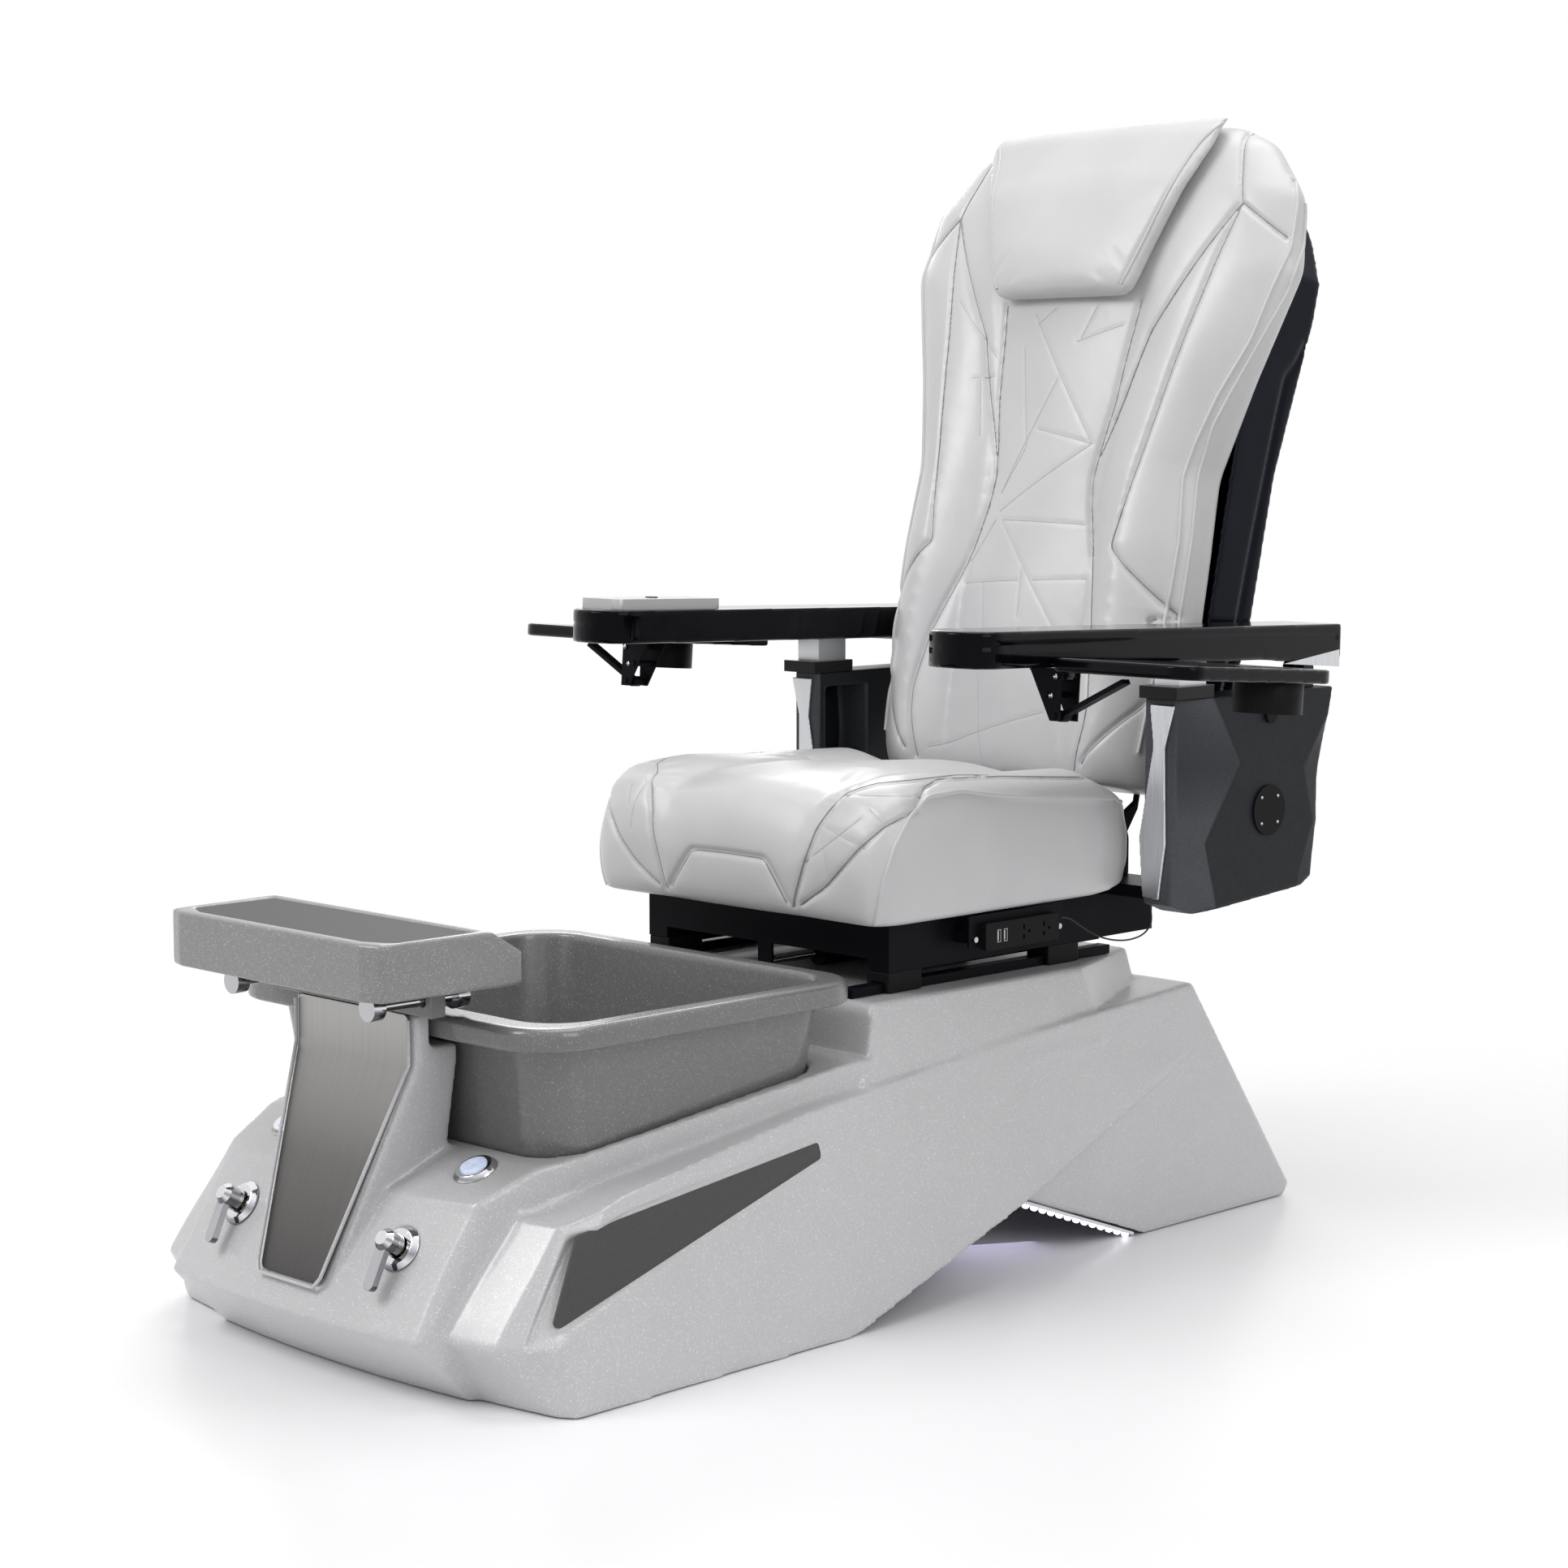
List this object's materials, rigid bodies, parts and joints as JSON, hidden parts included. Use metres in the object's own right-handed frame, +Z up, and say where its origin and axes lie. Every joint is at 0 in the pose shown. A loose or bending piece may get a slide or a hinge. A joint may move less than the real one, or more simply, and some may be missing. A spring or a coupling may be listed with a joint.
{
  "type": "pedicure spa chair",
  "caption": "Pedicure spa chair with a footrest over a foot basin, a sliding and reclining massage seat and lift-up armrests with fold-down manicure trays.",
  "frame": {"origin": "on the floor under the middle of the chair's outline", "axes": "+Z up; the sitter faces -Y; +X on the sitter's left"},
  "size_m": [1.174, 1.584, 1.452],
  "materials": {
    "pearl_shell": "gloss pearl grey-white with fine sparkle",
    "brushed_panel": "brushed lengthways",
    "dark_inlay": "satin",
    "lamp_strip": "satin",
    "lamp": "lit, cool white",
    "basin_grey": "gloss grey with fine sparkle",
    "footrest_grey": "satin with fine sparkle",
    "chrome_trim": "polished",
    "grey_plastic": "satin",
    "valve_brass": "machined",
    "lit_cap": "pale blue-white, lit",
    "black_plastic": "satin",
    "bare_steel": "plain",
    "black_steel": "black, satin",
    "slide_shoe": "satin",
    "pearl_leather": "silver-white synthetic leather with a pearl sheen",
    "lead_black": "matte",
    "charcoal_grain": "fine grain",
    "silver_trim": "brushed",
    "black_trim": "satin black",
    "gloss_black": "piano black",
    "black_shell": "gloss black with a blue cast",
    "remote_grey": "silver and black",
    "key_grey": "matte"
  },
  "bodies": {
    "base": {"base_shell": "pearl_shell", "steel_panel": "brushed_panel", "side_plates": "dark_inlay", "arch_lamp_strips": "lamp_strip", "arch_lamps": "lamp", "foot_basin": "basin_grey", "basin_drain": "chrome_trim", "jet_cover": "grey_plastic", "jet_motor": "black_plastic", "tap_flanges": "chrome_trim", "tap_valves": "valve_brass", "button_flanges": "chrome_trim", "footrest_carrier": "grey_plastic", "control_box": "black_plastic", "slide_rails": "bare_steel", "slide_actuator": "bare_steel"},
    "footrest": {"footrest_tray": "basin_grey", "footrest_pad": "footrest_grey", "footrest_rods": "chrome_trim"},
    "left_tap": {"left_tap_lever": "chrome_trim"},
    "right_tap": {"right_tap_lever": "chrome_trim"},
    "left_button": {"left_deck_button": "lit_cap"},
    "right_button": {"right_deck_button": "lit_cap"},
    "impeller": {"jet_impeller": "grey_plastic"},
    "seat": {"seat_frame": "black_steel", "slide_shoes": "slide_shoe", "actuator_rod": "bare_steel", "recline_motor": "black_plastic", "seat_cushion": "pearl_leather", "power_plate": "black_steel", "power_strip": "black_plastic", "usb_ports": "bare_steel", "strip_screws": "bare_steel", "armrest_lead": "lead_black", "left_arm_panel": "charcoal_grain", "right_arm_panel": "charcoal_grain", "arm_trims": "silver_trim", "panel_discs": "black_trim", "arm_posts": "black_trim"},
    "backrest": {"back_cushion": "pearl_leather", "head_pillow": "pearl_leather", "back_frame": "black_steel", "back_cross_bars": "black_steel", "back_shell": "black_shell", "massage_rails": "bare_steel"},
    "carriage": {"massage_carriage": "black_plastic"},
    "rollers_low": {"lower_rollers": "black_plastic"},
    "rollers_high": {"upper_rollers": "black_plastic"},
    "left_arm": {"left_arm_pad": "gloss_black", "left_tray_bracket": "black_steel"},
    "right_arm": {"right_arm_pad": "gloss_black", "right_tray_bracket": "black_steel", "remote_control": "remote_grey"},
    "key": {"remote_key": "key_grey"},
    "left_tray_body": {"left_tray": "gloss_black", "left_cup_holder": "gloss_black"},
    "right_tray_body": {"right_tray": "gloss_black", "right_cup_holder": "gloss_black"},
    "left_strut": {"left_tray_strut": "black_steel"},
    "right_strut": {"right_tray_strut": "black_steel"}
  },
  "joints": [
    {"name": "seat_slide", "type": "slide", "parent": "base", "child": "seat", "axis": [0, 1, 0], "range_m": [-0.05, 0.07]},
    {"name": "back_recline", "type": "hinge", "parent": "seat", "child": "backrest", "pos_m": [0, 0.43, 0.5], "axis": [-1, 0, 0], "range_deg": [0, 35]},
    {"name": "massage_travel", "type": "slide", "parent": "backrest", "child": "carriage", "axis": [0, 0.2267, 0.974], "range_m": [-0.22, 0.22]},
    {"name": "lower_roller_spin", "type": "hinge", "parent": "carriage", "child": "rollers_low", "pos_m": [0, 0.59539, 0.93278], "axis": [1, 0, 0], "continuous": true},
    {"name": "upper_roller_spin", "type": "hinge", "parent": "carriage", "child": "rollers_high", "pos_m": [0, 0.61171, 1.0029], "axis": [1, 0, 0], "continuous": true},
    {"name": "footrest_slide", "type": "slide", "parent": "base", "child": "footrest", "axis": [0, 1, 0], "range_m": [-0.016, 0.025]},
    {"name": "jet_spin", "type": "hinge", "parent": "base", "child": "impeller", "pos_m": [0, -0.18632, 0.262], "axis": [0, -0.9931, 0.1175], "continuous": true},
    {"name": "left_tap_turn", "type": "hinge", "parent": "base", "child": "left_tap", "pos_m": [0.145, -0.72712, 0.158], "axis": [0.0779, -0.8392, 0.5381], "range_deg": [-60, 60]},
    {"name": "left_button_press", "type": "slide", "parent": "base", "child": "left_button", "axis": [0, 0.4052, -0.9142], "range_m": [0, 0.0025], "stiffness_N_per_m": 600, "springref_m": -0.001},
    {"name": "left_arm_lift", "type": "hinge", "parent": "seat", "child": "left_arm", "pos_m": [0.318, 0.64, 0.724], "axis": [-1, 0, 0], "range_deg": [0, 50]},
    {"name": "left_tray_fold", "type": "hinge", "parent": "left_arm", "child": "left_tray_body", "pos_m": [0.382, 0.09538, 0.74574], "axis": [0, 0.9976, -0.0698], "range_deg": [0, 90]},
    {"name": "left_strut_swing", "type": "hinge", "parent": "left_arm", "child": "left_strut", "pos_m": [0.3784, 0.09206, 0.69819], "axis": [0, 0.9976, -0.0698], "range_deg": [0, 117]},
    {"name": "right_tap_turn", "type": "hinge", "parent": "base", "child": "right_tap", "pos_m": [-0.145, -0.72712, 0.158], "axis": [-0.0779, -0.8392, 0.5381], "range_deg": [-60, 60]},
    {"name": "right_button_press", "type": "slide", "parent": "base", "child": "right_button", "axis": [0, 0.4052, -0.9142], "range_m": [0, 0.0025], "stiffness_N_per_m": 600, "springref_m": -0.001},
    {"name": "right_arm_lift", "type": "hinge", "parent": "seat", "child": "right_arm", "pos_m": [-0.318, 0.64, 0.724], "axis": [-1, 0, 0], "range_deg": [0, 50]},
    {"name": "right_tray_fold", "type": "hinge", "parent": "right_arm", "child": "right_tray_body", "pos_m": [-0.382, 0.09538, 0.74574], "axis": [0, -0.9976, 0.0698], "range_deg": [0, 90]},
    {"name": "right_strut_swing", "type": "hinge", "parent": "right_arm", "child": "right_strut", "pos_m": [-0.3784, 0.09206, 0.69819], "axis": [0, -0.9976, 0.0698], "range_deg": [0, 117]},
    {"name": "remote_key_press", "type": "slide", "parent": "right_arm", "child": "key", "axis": [0, -0.0279, -0.9996], "range_m": [0, 0.001], "stiffness_N_per_m": 300, "springref_m": -0.001}
  ],
  "couplings": [
    {"joint": "left_strut_swing", "follows": "left_tray_fold", "ratio": 1.295},
    {"joint": "right_strut_swing", "follows": "right_tray_fold", "ratio": 1.295}
  ]
}
